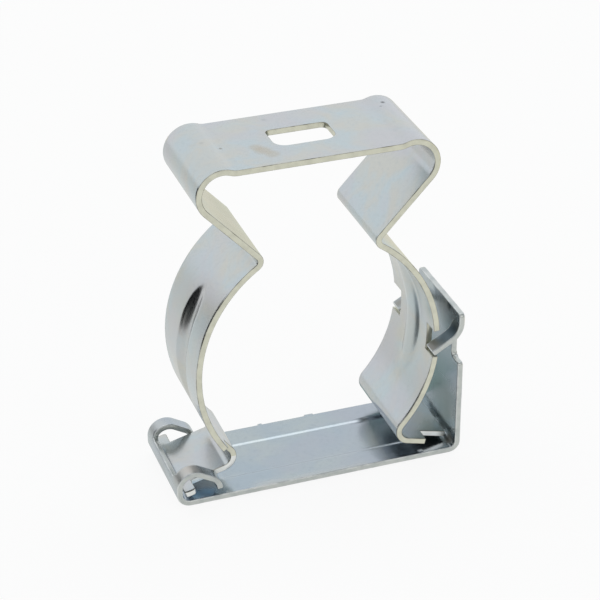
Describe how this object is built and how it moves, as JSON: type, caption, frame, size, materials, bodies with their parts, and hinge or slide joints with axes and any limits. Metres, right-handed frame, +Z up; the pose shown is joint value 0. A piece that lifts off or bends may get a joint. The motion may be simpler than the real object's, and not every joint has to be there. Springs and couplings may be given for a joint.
{
  "type": "tube clip",
  "caption": "Sprung zinc-plated strip clip for a round tube, with a hinged strap that swings across its mouth and latches in notches on one arm; screwed up through a slotted back plate.",
  "frame": {"origin": "middle of the strap's length and width, on the plane its pressed floor panel stands on", "axes": "+X from the strap's hinge towards its latch, +Y along the tube that the clip holds, +Z up to the back plate"},
  "size_m": [0.051, 0.0183, 0.0614],
  "materials": {
    "zinc_clip": "bright zinc plated, pale passivated",
    "zinc_strap": "bright zinc plated, bluish passivated"
  },
  "bodies": {
    "clip": {"spring_clip": "zinc_clip"},
    "strap": {"closing_strap": "zinc_strap"}
  },
  "joints": [
    {"name": "strap_hinge", "type": "hinge", "parent": "clip", "child": "strap", "pos_m": [-0.02306, 0, 0.0027], "axis": [0, 1, 0], "range_deg": [0, 90]}
  ]
}
